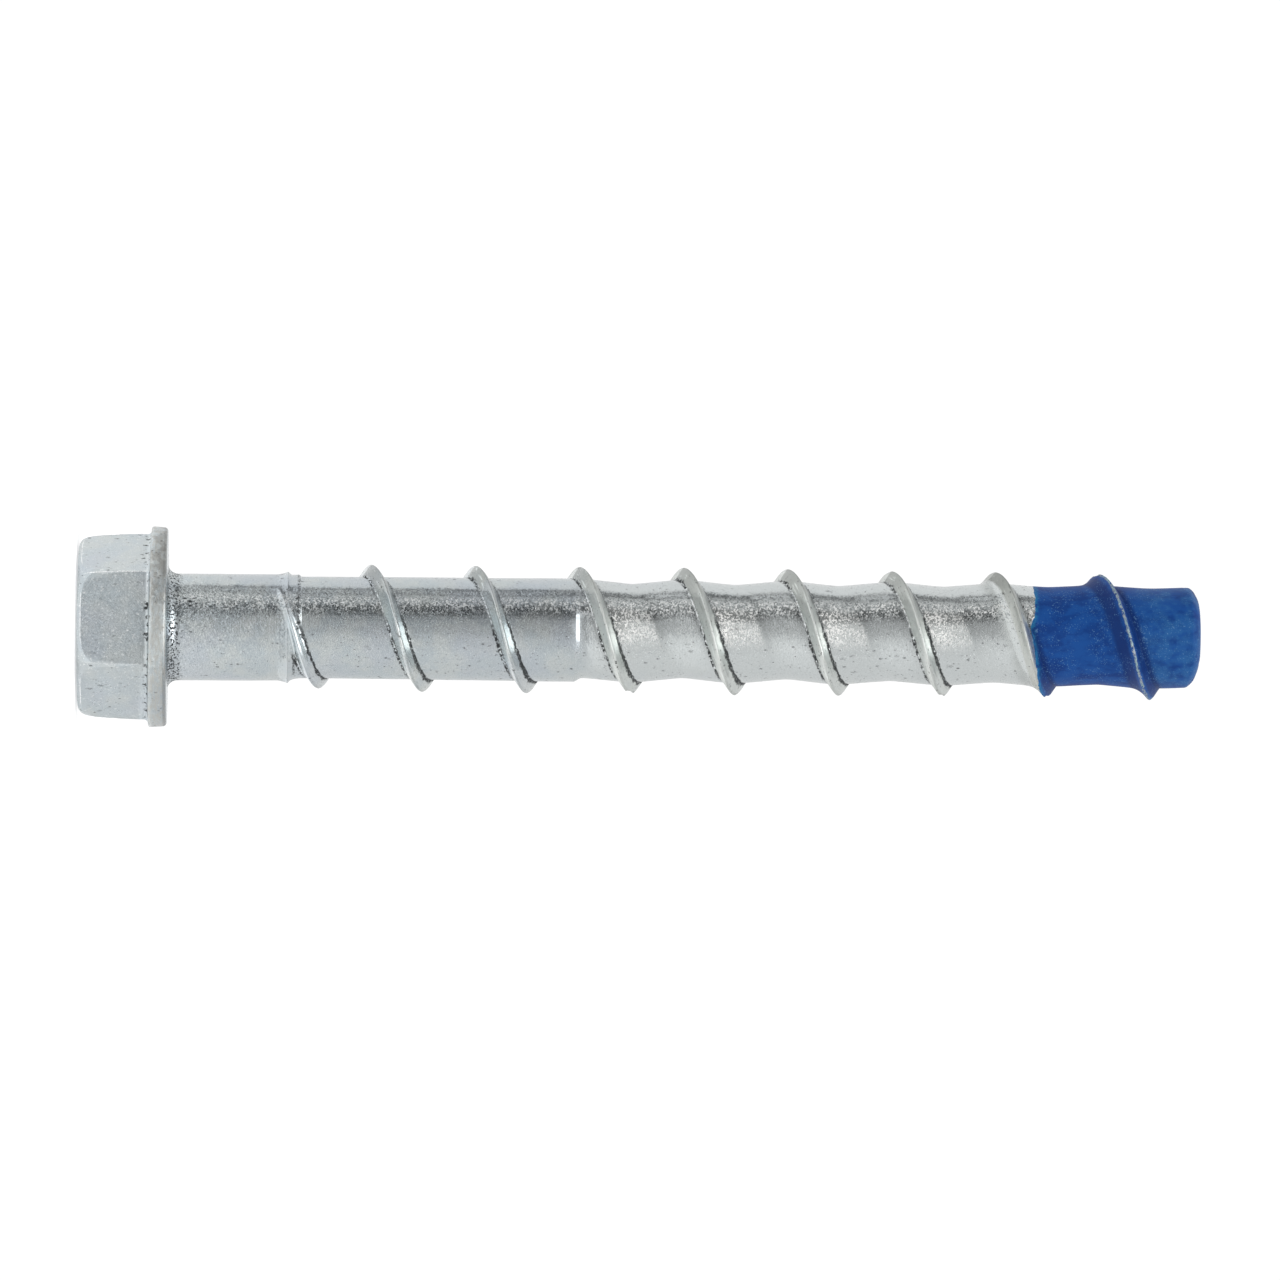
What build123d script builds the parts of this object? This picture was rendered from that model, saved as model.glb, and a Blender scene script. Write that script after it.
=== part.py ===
from build123d import *
import math
import os

# Concrete screw: hex head with a flange forged in one with it, plain shank,
# bead ring and a coarse right-hand thread on a long core with a blunt tip.
# One piece of zinc-plated steel.
#
# Frame: +Z is up and is the screw's axis. The origin is the centre of the
# bearing face, the side of the flange that clamps down. A lying screw rolls on
# its round flange, so it stands on the flat top of its head, tip up: the head
# is below the origin, and shank and thread are above it.

os.makedirs("parts", exist_ok=True)

# ---- driving dimensions, in millimetres and degrees ----
# Distances "along" are measured on the axis from the bearing face, towards
# the tip. Radii are from the axis.
under_head_length = 152.4     # bearing face to the end of the tip
across_flats = 23.8           # hex drive
hex_turn = 5.8                # turn of the hex about the axis
hex_height = 10.92            # top of the head to the flange
flange_thickness = 2.43
flange_radius = 14.81
flange_touch = -2.05          # along: widest circle of the flange
under_head_fillet = 1.5
hex_foot_fillet = 0.5         # between the hex and the flange

shank_radius = 7.87           # plain shank, 15.9 nominal with its plating
shank_end = 16.3              # along: where the shank meets the bead
bead_radius = 8.22
bead_peak = 17.65             # along
bead_end = 20.0               # along: where the bead has run into the core

core_radius = 7.55            # core of the front part of the thread
waist_start = 60.6            # along: from here on the core is waisted
waist_radius = 6.98           # least radius, half way between two crests
waist_bottom = (0.35, 7.01)   # half width, radius: the rounded bottom of the V
waist_edge_radius = 7.56      # radius of the waisted core at the thread's feet
waist_half_width = 6.565

thread_pitch = 15.39
crest_radius = 9.30
crest_edge_radius = 9.21
crest_half_width = 0.16
crest_on_x = 22.26            # along: a crest on the +X side of the screw
flank_foot = (0.99, 7.94)     # half width, radius: the flank ends here
fillet_middle = (1.24, 7.60)  # and a fillet leads from it into the core
fillet_foot = (1.52, 7.31)
ridge_root_radius = 6.20      # the ridge is sunk into the core this far
run_out_start = (14.0, 6.96)  # along, radius: the thread rises from here
run_out_full = (23.7, 9.34)   # and has its full height here
run_in_full = (145.9, 9.34)   # it is full up to here
run_in_end = (151.0, 6.00)    # and has sunk into the core here

# Plane along the axis: local x runs to the tip, local y is the radius on the
# +X side.
screw_axis = Axis.Z
lengthwise = Plane(origin=(0, 0, 0), x_dir=(0, 0, 1), z_dir=(0, 1, 0))
tip_turn = math.radians(77)
tip_section = Plane(
    origin=(0, 0, 0), x_dir=(0, 0, 1), z_dir=(-math.sin(tip_turn), math.cos(tip_turn), 0)
)

head_top = -(hex_height + flange_thickness)

# ---- thread ridge: one section swept along the helix ----
ridge_from = crest_on_x - thread_pitch
ridge_turns = 10

with BuildPart() as thread_ridge:
    with BuildLine() as ridge_path:
        Helix(
            pitch=thread_pitch,
            height=ridge_turns * thread_pitch,
            radius=core_radius,
            center=(0, 0, ridge_from),
            direction=(0, 0, 1),
        )
    with BuildSketch(lengthwise) as ridge_section:
        with BuildLine():
            c = ridge_from
            w, cr = crest_half_width, crest_edge_radius
            f, fr = flank_foot
            m, mr = fillet_middle
            e, er = fillet_foot
            rr = ridge_root_radius
            Line((c - e, rr), (c - e, er))
            ThreePointArc((c - e, er), (c - m, mr), (c - f, fr))
            Line((c - f, fr), (c - w, cr))
            ThreePointArc((c - w, cr), (c, crest_radius), (c + w, cr))
            Line((c + w, cr), (c + f, fr))
            ThreePointArc((c + f, fr), (c + m, mr), (c + e, er))
            Line((c + e, er), (c + e, rr))
            Line((c + e, rr), (c - e, rr))
        make_face()
    sweep(path=ridge_path.wires()[0], is_frenet=True)
    # The thread rises out of the bead and sinks into the core before the tip:
    # its height is cut down by a cone at each end.
    with BuildSketch(lengthwise) as ridge_limit:
        with BuildLine():
            Polyline(
                (run_out_start[0], 0),
                run_out_start,
                run_out_full,
                run_in_full,
                run_in_end,
                (run_in_end[0], 0),
                close=True,
            )
        make_face()
    revolve(axis=screw_axis, mode=Mode.INTERSECT)

# ---- waist between the threads: a shallow V swept along the helix ----
# Its two side walls are inside the ridge, so only its floor shows.
waist_from = crest_on_x + 1.5 * thread_pitch
waist_turns = 7.5

with BuildPart() as waist:
    with BuildLine() as waist_path:
        Helix(
            pitch=thread_pitch,
            height=waist_turns * thread_pitch,
            radius=core_radius,
            center=(0, 0, waist_from),
            direction=(0, 0, 1),
        )
    with BuildSketch(lengthwise) as waist_section:
        with BuildLine():
            c, h, we = waist_from, waist_half_width, waist_edge_radius
            b, br = waist_bottom
            Line((c - h, we), (c - b, br))
            ThreePointArc((c - b, br), (c, waist_radius), (c + b, br))
            Line((c + b, br), (c + h, we))
            Line((c + h, we), (c + h, 8.2))
            Line((c + h, 8.2), (c - h, 8.2))
            Line((c - h, 8.2), (c - h, we))
        make_face()
    sweep(path=waist_path.wires()[0], is_frenet=True)
    with BuildSketch(Plane.XY.offset(waist_start)):
        Circle(10)
    extrude(amount=120, mode=Mode.INTERSECT)

# ---- the screw ----
end = under_head_length

with BuildPart() as concrete_screw:
    # Hex of the head, with corners that the forging die didn't quite fill
    with BuildSketch(Plane.XY.offset(head_top)):
        RegularPolygon(
            radius=across_flats / 2, side_count=6, major_radius=False, rotation=-hex_turn
        )
    extrude(amount=hex_height + flange_thickness / 2)
    with BuildSketch(lengthwise) as corner_limit:
        with BuildLine():
            t = head_top
            Line((t, 0), (t, 11.62))
            ThreePointArc((t, 11.62), (t + 0.14, 12.16), (t + 0.55, 12.70))
            Spline(
                (t + 0.55, 12.70),
                (t + 1.30, 13.08),
                (t + 3.10, 13.40),
                (t + 5.80, 13.58),
                (t + 9.20, 13.80),
            )
            Line((t + 9.20, 13.80), (t + 12.2, 13.80))
            Line((t + 12.2, 13.80), (t + 12.2, 0))
            Line((t + 12.2, 0), (t, 0))
        make_face()
    revolve(axis=screw_axis, mode=Mode.INTERSECT)

    # Flange, under-head fillet, shank, bead and core, in one turned shape
    with BuildSketch(lengthwise) as turned:
        with BuildLine():
            ft = -flange_thickness
            r = flange_radius
            Line((ft, 0), (ft, r - 0.32))
            ThreePointArc((ft, r - 0.32), (ft + 0.10, r - 0.09), (flange_touch, r))
            Line((flange_touch, r), (-0.48, r - 0.10))
            ThreePointArc((-0.48, r - 0.10), (-0.13, r - 0.27), (0, r - 0.58))
            u = under_head_fillet
            Line((0, r - 0.58), (0, shank_radius + u))
            k = u * (1 - math.sqrt(0.5))
            ThreePointArc((0, shank_radius + u), (k, shank_radius + k), (u, shank_radius))
            Line((u, shank_radius), (shank_end, shank_radius))
            Spline(
                (shank_end, shank_radius),
                (bead_peak, bead_radius),
                (bead_end, core_radius),
                tangents=((1, 0), (1, 0)),
            )
            Line((bead_end, core_radius), (end + 1, core_radius))
            Line((end + 1, core_radius), (end + 1, 0))
            Line((end + 1, 0), (ft, 0))
        make_face()
    revolve(axis=screw_axis)

    # Fillet at the foot of the hex, on the flange
    hex_foot = [
        edge
        for edge in concrete_screw.edges().filter_by(GeomType.LINE)
        if all(abs(v.center().Z + flange_thickness) < 0.01 for v in edge.vertices())
    ]
    fillet(hex_foot, radius=hex_foot_fillet)

    add(waist.part, mode=Mode.SUBTRACT)
    add(thread_ridge.part)

    # Blunt tip: a rounded edge and a slight dome, turned off the end. Its section
    # stands at another angle than the helix's, so that their seams stay apart.
    with BuildSketch(tip_section) as tip_waste:
        with BuildLine():
            dome = (5.75**2 + 0.32**2) / (2 * 0.32)    # its centre is on the axis
            dome_middle = (end - dome + math.sqrt(dome**2 - 3.0**2), 3.0)
            Line((end - 2.5, 12), (end - 2.5, core_radius))
            ThreePointArc((end - 2.5, core_radius), (end - 0.98, 6.95), (end - 0.32, 5.75))
            ThreePointArc((end - 0.32, 5.75), dome_middle, (end, 0))
            Line((end, 0), (end + 3, 0))
            Line((end + 3, 0), (end + 3, 12))
            Line((end + 3, 12), (end - 2.5, 12))
        make_face()
    revolve(axis=screw_axis, mode=Mode.SUBTRACT)

concrete_screw.part.label = "concrete_screw"
export_step(concrete_screw.part, "parts/concrete_screw.step")

print("volume, mm3:", round(concrete_screw.part.volume, 1))
print("solids:", len(concrete_screw.part.solids()), "valid:", concrete_screw.part.is_valid)
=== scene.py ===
import math

import bpy
import numpy as np
from mathutils import Matrix, Vector


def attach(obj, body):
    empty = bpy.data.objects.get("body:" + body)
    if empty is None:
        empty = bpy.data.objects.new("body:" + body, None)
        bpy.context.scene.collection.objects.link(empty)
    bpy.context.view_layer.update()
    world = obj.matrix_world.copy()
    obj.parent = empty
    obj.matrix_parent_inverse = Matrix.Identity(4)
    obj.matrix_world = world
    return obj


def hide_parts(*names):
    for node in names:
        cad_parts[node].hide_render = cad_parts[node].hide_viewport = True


# Concrete screw, standing on the flat top of its head, tip up (+Z).
# Lengths are in millimetres until the mesh is made, then in metres.
# theta is the angle round the axis: 0 is -X, 90 is -Y, 180 is +X, 270 is +Y.
# s is the distance along the axis from the bearing face, towards the tip.

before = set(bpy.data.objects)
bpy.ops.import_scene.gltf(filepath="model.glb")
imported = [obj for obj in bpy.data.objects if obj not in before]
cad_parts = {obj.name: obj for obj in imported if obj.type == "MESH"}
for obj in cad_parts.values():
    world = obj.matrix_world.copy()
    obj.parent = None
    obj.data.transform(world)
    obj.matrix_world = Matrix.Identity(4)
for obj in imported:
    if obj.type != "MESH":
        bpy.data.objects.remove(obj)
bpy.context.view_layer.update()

PITCH = 15.39
CREST_0 = 14.563          # s of the thread's crest at theta = 0, turn 0
HEAD_TOP = -13.35
FLANGE = -2.43
END = 152.4
APOTHEM = 11.9
HEX_CORNER = 54.2         # theta of one corner of the hex


# ---------------------------------------------------------------- helpers
def smooth_max(a, b, k):
    h = np.maximum(k - np.abs(a - b), 0.0)
    return np.maximum(a, b) + h * h / (4.0 * k)


def smooth_min(a, b, k):
    h = np.maximum(k - np.abs(a - b), 0.0)
    return np.minimum(a, b) - h * h / (4.0 * k)


def step(x, a, b):
    t = np.clip((x - a) / (b - a), 0.0, 1.0)
    return t * t * (3.0 - 2.0 * t)


def bump(x, width):
    t = np.clip(1.0 - (x / width) ** 2, 0.0, 1.0)
    return t * t


LATTICE = np.random.default_rng(11).random((64, 64, 64)) * 2.0 - 1.0


def noise(x, y, z, scale, seed=0):
    """Smooth value noise from -1 to 1; scale is the size of one lump."""
    p = [np.asarray(c, float) / scale + 7.3 * (seed + 1) * (n + 1) for n, c in enumerate((x, y, z))]
    base = [np.floor(c).astype(int) for c in p]
    f = [c - b for c, b in zip(p, base)]
    f = [t * t * t * (t * (t * 6 - 15) + 10) for t in f]
    out = 0.0
    for dx in (0, 1):
        for dy in (0, 1):
            for dz in (0, 1):
                w = (f[0] if dx else 1 - f[0]) * (f[1] if dy else 1 - f[1]) * (f[2] if dz else 1 - f[2])
                out = out + w * LATTICE[(base[0] + dx) % 64, (base[1] + dy) % 64, (base[2] + dz) % 64]
    return out


# ---------------------------------------------------------------- shape of shank and thread
# Crest radius by the angle run since the thread's start, in degrees.
CREST = np.array([
    (0, 6.6), (36, 7.5), (50, 7.97), (70, 8.14), (95, 8.33), (120, 8.55), (150, 8.82), (180, 9.00), (240, 9.17),
    (330, 9.32), (540, 9.35), (720, 9.34), (900, 9.39), (1080, 9.34), (1260, 9.36),
    (1440, 9.40), (1620, 9.36), (1800, 9.35), (1980, 9.27), (2160, 9.21), (2340, 9.24),
    (2520, 9.25), (2700, 9.22), (2880, 9.20), (3060, 9.28), (3100, 9.0), (3135, 8.3),
    (3165, 7.4), (3190, 6.4), (3600, 6.0),
])
# Worn and nicked places on the crest: angle run, half length in degrees, radius
# that is left, slope of the worn face.
WORN = [
    (1256, 17, 8.93, 0.16), (1150, 5, 9.26, 0.0), (1395, 6, 9.27, 0.1), (618, 5, 9.24, -0.1),
    (795, 7, 9.26, 0.1), (990, 6, 9.27, 0.0), (2336, 15, 8.96, -0.12), (2150, 10, 9.14, 0.2),
    (2702, 15, 8.94, 0.05), (2873, 8, 9.0, 0.0), (2560, 6, 9.14, 0.1), (1905, 6, 9.22, 0.0),
    (3000, 6, 9.17, 0.1), (450, 6, 9.27, 0.0), (2440, 5, 9.12, 0.0), (1690, 5, 9.26, 0.1),
]
MID_S = [60.0, 68.4, 76.1, 83.8, 91.5, 99.2, 106.9, 114.6, 122.3, 130.0, 137.7, 145.4, 153.0]
MID_R = [7.06, 6.97, 6.94, 6.98, 6.96, 6.99, 7.04, 7.03, 7.09, 7.15, 7.15, 7.28, 7.28]


def bow(s):
    """The screw isn't quite straight: offset of its middle line towards theta = 0."""
    return np.interp(s, [-13.4, 0, 12, 22, 60, 130, 146, 152], [-0.02, 0.02, 0.06, 0.165, 0.15, 0.12, -0.05, -0.09])


def thread_place(theta, s):
    """Distance along the axis from the nearest crest, and the angle run of that crest."""
    c = (s - CREST_0) / PITCH - theta / 360.0
    i = np.floor(c + 0.5)
    return (c - i) * PITCH, theta + 360.0 * i


def body_radius(theta, s):
    theta, s = np.broadcast_arrays(np.asarray(theta, float), np.asarray(s, float))
    u, run = thread_place(theta, s)

    # plain shank, bead and front core
    core = np.interp(
        s,
        [0, 8, 15.9, 16.35, 16.7, 17.1, 17.42, 17.62, 17.74, 17.9, 18.15, 18.5, 18.9, 19.4, 20.0, 30, 45, 53, 59.6],
        [7.87, 7.87, 7.855, 7.87, 7.93, 8.02, 8.12, 8.23, 8.27, 8.10, 7.86, 7.70, 7.60, 7.54, 7.52, 7.54, 7.57, 7.61, 7.63],
    )
    # the bead is lower on the near side, where the thread starts
    low = step(theta, 26.0, 46.0) * step(theta, 150.0, 118.0)
    core = np.where(s < 18.4, core - 0.80 * low * np.maximum(core - 7.84, 0.0), core)
    # on one side the bead runs out in a collar, up to where the thread starts
    side = step(np.abs((theta - 5.0 + 180.0) % 360.0 - 180.0), 100.0, 72.0)
    collar = 7.81 - 0.32 * step(s, 19.30, 19.80)
    core = np.where(s > 17.75, np.maximum(core, side * collar + (1 - side) * 7.3), core)

    # waist: a shallow V between the turns of the thread
    x = PITCH / 2 - np.abs(u)
    mid = np.interp(s, MID_S, MID_R)
    slope = (7.53 - mid) / 5.25
    vee = mid + slope * (np.sqrt(x * x + 0.50) - 0.707)
    vee = smooth_min(vee, 7.53, 0.06)
    sharp = step(np.abs(theta - 97.0), 34.0, 18.0)
    w = np.clip((s - 60.52 + 0.57 - 0.37 * sharp) / (1.15 - 0.75 * sharp), 0, 1)
    w = w * w * (3 - 2 * w)
    core = core * (1 - w) + vee * w

    # ridge of the thread
    crest = np.interp(run, CREST[:, 0], CREST[:, 1])
    young = step(run, 60, 200)                       # 0 where the thread starts
    b = 0.15 + 0.12 * (1 - young)
    steep = 1.62 * young + 1.05 * (1 - young)
    v = np.sqrt(u * u + b * b) - b
    ridge = crest - steep * v
    late = step(run, 2230, 2620)                     # the last turns have a wide, hollow left flank
    wide = crest - 1.78 * (1 - np.exp(-v / 1.05)) - 0.10 * np.maximum(v - 1.0, 0.0)
    ridge = np.where(u < 0, ridge * (1 - late) + np.maximum(wide, ridge) * late, ridge)
    # small folds along both flanks from the rolling of the thread
    ridge = ridge + 0.035 * young * np.exp(-((u - 0.34) / 0.10) ** 2) - 0.03 * young * np.exp(-((u - 0.17) / 0.07) ** 2)
    for at, half, left, lean in WORN:
        gone = left + lean * u + 0.9 * step(np.abs(run - at) + 2.0 * noise(u, run * 0.05, 0 * u, 0.7, 3), half * 0.55, half)
        ridge = smooth_min(ridge, gone, 0.05)
    ridge = np.where((run < 0) | (run > 3500), 0.0, ridge)
    r = smooth_max(core, ridge, 0.20)
    # crevice at the ridge's right foot
    on = step(run, 150, 200) * step(run, 3120, 3060)
    foot = 1.24 + 0.06 * noise(run * 0.02, u * 0, u * 0, 0.5, 5)
    r = r - 0.07 * on * np.exp(-((u - foot) / 0.10) ** 2) - 0.045 * on * (1 - late) * np.exp(-((u + 1.30) / 0.11) ** 2)
    # two short creases under the start of the thread
    a = theta
    r = r - 0.07 * bump(s - 18.62, 0.22) * bump(a - 122.0, 22.0)
    r = r - 0.07 * bump(s - (18.75 + (a - 132.0) * 0.065), 0.20) * bump(a - 141.0, 14.0)

    # slight unevenness of the rolled steel
    px, py = -r * np.cos(np.radians(theta)), -r * np.sin(np.radians(theta))
    r = r + 0.018 * noise(px, py, s, 5.0, 1) + 0.010 * noise(px, py, s * 0.7, 1.7, 2)
    return r


# ---------------------------------------------------------------- shape of the head
def hex_radius(theta, corner, inset=0.0):
    d = (theta - HEX_CORNER + 30.0) % 60.0 - 30.0     # from the nearest corner
    flat = (APOTHEM - inset) / np.cos(np.radians(30.0 - np.abs(d)))
    burr = 0.035 * np.exp(-((flat - corner) / 0.06) ** 2) if corner > 11.7 else 0.0
    return smooth_min(flat, corner + 0 * flat, 0.03) + burr


def corner_limit(s):
    t = s - HEAD_TOP
    return np.interp(t, [0, 0.02, 0.06, 0.14, 0.26, 0.40, 0.55, 0.85, 1.30, 2.1, 3.10, 4.4, 5.80, 7.4, 9.2, 20],
                     [11.62, 11.80, 11.96, 12.16, 12.37, 12.55, 12.70, 12.88, 13.08, 13.26, 13.40, 13.50, 13.58, 13.66, 13.72, 13.72])


# ---------------------------------------------------------------- the mesh
verts, faces = [], []


def add_points(r, theta, s):
    """Adds a row of points and returns their indices."""
    r, theta, s = np.broadcast_arrays(np.asarray(r, float), np.asarray(theta, float), np.asarray(s, float))
    start = len(verts)
    a = np.radians(theta)
    x = -r * np.cos(a) - bow(s)
    y = -r * np.sin(a)
    verts.extend(zip(x.tolist(), y.tolist(), s.tolist()))
    return np.arange(start, start + r.size)


def join(low, high):
    """Faces between two rings with the same number of points."""
    n = len(low)
    for j in range(n):
        k = (j + 1) % n
        faces.append((int(low[j]), int(low[k]), int(high[k]), int(high[j])))


def zip_rings(low, a_low, high, a_high):
    """Faces between two rings whose points stand at different angles."""
    n, m = len(low), len(high)
    i = j = 0
    while i < n or j < m:
        next_low = a_low[i + 1] if i + 1 < n else a_low[0] + 360.0
        next_high = a_high[j + 1] if j + 1 < m else a_high[0] + 360.0
        if j >= m or (i < n and next_low <= next_high):
            faces.append((int(low[i]), int(low[(i + 1) % n]), int(high[j % m])))
            i += 1
        else:
            faces.append((int(low[i % n]), int(high[(j + 1) % m]), int(high[j])))
            j += 1


# head: columns that crowd together at the corners of the hex
half = [0.0, 0.35, 0.7, 1.05, 1.4, 1.8, 2.25, 2.8, 3.5, 4.3, 5.2, 6.2, 7.3, 8.5, 9.8, 11.2, 12.7, 14.3, 16.0, 17.8, 19.7, 21.7, 23.8, 25.9, 28.0]
one = sorted([-h for h in half[1:]] + half + [30.0])
head_theta = np.array([HEX_CORNER + 60.0 * k + o for k in range(6) for o in one])
head_theta = np.sort(head_theta % 360.0)

rings = []
DOME = 0.24                                                   # the top is slightly domed
centre = len(verts)
verts.append((-float(bow(HEAD_TOP)), 0.0, HEAD_TOP))
for rho in (1.2, 3.0, 5.0, 7.0, 8.8, 10.0, 10.8, 11.3):
    rings.append(add_points(hex_radius(head_theta, rho), head_theta, HEAD_TOP + DOME * (rho / 11.5) ** 2))
top_ring = rings[0]
hex_side = [0.0, 0.02, 0.06, 0.12, 0.20, 0.30, 0.42, 0.53, 0.62, 0.72, 0.84, 0.98, 1.15, 1.35, 1.6, 1.9, 2.3, 2.9, 3.8, 5.0, 6.4, 7.8, 9.2, 10.0]
from_corner = np.abs((head_theta - HEX_CORNER + 30.0) % 60.0 - 30.0)
bend = 0.60 + 1.9 * (1.0 - from_corner / 30.0) ** 5
for t in hex_side:
    s = HEAD_TOP + t
    lift = DOME * max(0.0, 1.0 - t / 3.0) ** 1.5
    rim_t = max(0.0, 1.0 - t / 0.20)                           # rounded rim all round the top
    inset = 0.20 * (1.0 - math.sqrt(1.0 - rim_t ** 2)) + 0.34 * np.maximum(bend - t, 0.0)
    r = hex_radius(head_theta, float(corner_limit(s)), inset)
    px, py = -r * np.cos(np.radians(head_theta)), -r * np.sin(np.radians(head_theta))
    r = r + 0.030 * noise(px, py, s + 0 * px, 6.0, 8) * min(1.0, t / 1.0)
    rings.append(add_points(r, head_theta, s + lift))
# fillet at the foot of the hex
foot_r = 0.62
hexr = hex_radius(head_theta, 13.72)
flange_top = FLANGE - 0.30 * (0.5 - 0.5 * np.cos(np.radians(head_theta)))
for q in (0.0, 0.12, 0.25, 0.4, 0.55, 0.7, 0.84, 1.0):
    a = q * math.pi / 2
    s = flange_top - foot_r + foot_r * math.sin(a)
    rings.append(add_points(hexr + foot_r * (1 - math.cos(a)), head_theta, s))
inner = hexr + foot_r
for q in (0.25, 0.55, 0.8):
    r = inner * (1 - q) + 14.42 * q
    rings.append(add_points(np.minimum(r, 14.45), head_theta, flange_top))
rim = [(0.0, 14.47), (0.035, 14.60), (0.10, 14.71), (0.20, 14.78), (0.36, 14.81), (0.75, 14.80), (1.2, 14.77)]
px, py = -14.7 * np.cos(np.radians(head_theta)), -14.7 * np.sin(np.radians(head_theta))
for ds, r in rim:
    rr = r + 0.035 * noise(px, py, ds + 0 * px, 3.0, 9) * min(1.0, ds / 0.2) - (0.03 if ds > 0.1 else 0.0)
    rings.append(add_points(rr, head_theta, flange_top + ds))
for s, r in [(-0.85, 14.74), (-0.50, 14.71), (-0.34, 14.66), (-0.20, 14.57), (-0.09, 14.44), (-0.02, 14.30), (0.0, 14.12)]:
    rr = r + 0.035 * noise(px, py, s * 2 + 0 * px, 3.0, 10) - 0.03
    rings.append(add_points(rr, head_theta, s + 0.012 * noise(px, py, 0 * px, 3.0, 12)))
rings.append(add_points(13.5, head_theta, 0.0))
rings.append(add_points(12.2, head_theta, 0.0))
n_head = len(head_theta)
for j in range(n_head):
    faces.append((centre, int(top_ring[(j + 1) % n_head]), int(top_ring[j])))
for a, b in zip(rings, rings[1:]):
    join(a, b)

# shank: 180 columns
N_COL = 180
theta = np.arange(N_COL) * 360.0 / N_COL
low = add_points(11.0, theta, 0.0)
zip_rings(rings[-1], head_theta, low, theta)
fillet = 1.5
ring = low
r0 = body_radius(theta, 1.5)
profile = [(0.0, 10.1)]
for q in (0.0, 0.14, 0.28, 0.42, 0.56, 0.7, 0.85, 1.0):
    a = q * math.pi / 2
    profile.append((fillet * (1 - math.cos(a)), 7.87 + fillet * (1 - math.sin(a))))
for s, r in profile:
    near = step(s, 0.0, 1.5)
    nxt = add_points(r * (1 - near) + (r0 + (r - 7.87)) * near, theta, s)
    join(ring, nxt)
    ring = nxt
planar = [2.0, 2.6, 3.3, 4.1, 5.0, 5.9, 6.8, 7.7, 8.6, 9.5, 10.4, 11.3, 12.2, 13.0, 13.7, 14.3, 14.8, 15.2, 15.6, 15.9]
planar += list(np.arange(16.15, 17.3, 0.2)) + [17.3, 17.42, 17.52, 17.62, 17.70, 17.78, 17.88, 18.0, 18.15, 18.32]
planar += list(np.arange(18.5, 20.45, 0.17))
S_A = 20.5
planar.append(S_A)
for s in planar:
    nxt = add_points(body_radius(theta, s), theta, s)
    join(ring, nxt)
    ring = nxt
ring_a = ring

# thread: rows that follow the helix, close together at the crest and the feet
half_rows = [0.1, 0.2, 0.3, 0.42, 0.56, 0.72, 0.88, 1.02, 1.14, 1.26, 1.40, 1.6, 1.9, 2.35, 2.95, 3.7, 4.6, 5.5, 6.3, 6.95, 7.4]
offsets = np.array([-h for h in reversed(half_rows)] + [0.0] + half_rows + [PITCH / 2])
N_ROW = len(offsets)
S_B = 149.9
tip_rows = [149.9]
ring_b = add_points(body_radius(theta, S_B), theta, S_B)
first_turn, last_turn = -1, 9
rows = [(i, m) for i in range(first_turn, last_turn + 1) for m in range(N_ROW)]
ids = {}
SNAP = 0.07
for q, (i, m) in enumerate(rows):
    s = CREST_0 + PITCH * (theta / 360.0 + i) + offsets[m]
    here = (s > S_A + SNAP) & (s < S_B - SNAP)
    row = np.where(s <= S_A + SNAP, ring_a, ring_b)
    if here.any():
        t, z = theta[here], s[here]
        row = row.copy()
        row[here] = add_points(body_radius(t, z), t, z)
    ids[q] = row
for q in range(len(rows) - 1):
    a, b = ids[q], ids[q + 1]
    for j in range(N_COL):
        if j < N_COL - 1:
            quad = (a[j], a[j + 1], b[j + 1], b[j])
        elif q + N_ROW < len(rows) - 1:                  # the seam leads to the next turn
            quad = (a[j], ids[q + N_ROW][0], ids[q + N_ROW + 1][0], b[j])
        else:
            continue
        out = list(dict.fromkeys(int(v) for v in quad))
        if len(out) >= 3:
            faces.append(tuple(out))

# tip: rounded edge, chipped on one side, and a nearly flat end
tip = [(150.25, 7.50), (150.6, 7.50), (150.9, 7.47), (151.12, 7.36), (151.35, 7.18), (151.56, 6.97), (151.76, 6.72),
       (151.94, 6.43), (152.10, 6.12), (152.24, 5.80), (152.34, 5.45), (152.385, 5.0)]
ring = ring_b
for s, r in tip:
    base = body_radius(theta, s)
    k = bump((theta - 168.0 + 180.0) % 360.0 - 180.0, 55.0)
    cut = 0.42 * k * step(s, 150.2, 151.3)
    cut = cut + 0.20 * np.clip(noise(theta * 0.09, s + 0 * theta, 0 * theta, 1.0, 15), 0, 1) * step(s, 150.5, 151.4)
    rr = smooth_min(base, r - cut, 0.12)
    nxt = add_points(rr, theta, s - 0.10 * k * step(s, 151.5, 152.3))
    join(ring, nxt)
    ring = nxt
for rho, s in ((4.0, 152.395), (2.8, 152.40), (1.4, 152.40)):
    nxt = add_points(rho, theta, s)
    join(ring, nxt)
    ring = nxt
apex = len(verts)
verts.append((-float(bow(END)), 0.0, 152.40))
for j in range(N_COL):
    faces.append((int(ring[j]), int(ring[(j + 1) % N_COL]), apex))

mesh = bpy.data.meshes.new("screw_body")
mesh.from_pydata([(x / 1000.0, y / 1000.0, z / 1000.0) for x, y, z in verts], [], faces)
mesh.update()
mesh.validate()
mesh.polygons.foreach_set("use_smooth", [True] * len(mesh.polygons))
screw = bpy.data.objects.new("screw_body", mesh)
bpy.context.scene.collection.objects.link(screw)
print("triangles:", sum(len(p.vertices) - 2 for p in mesh.polygons), "points:", len(mesh.vertices))


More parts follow.
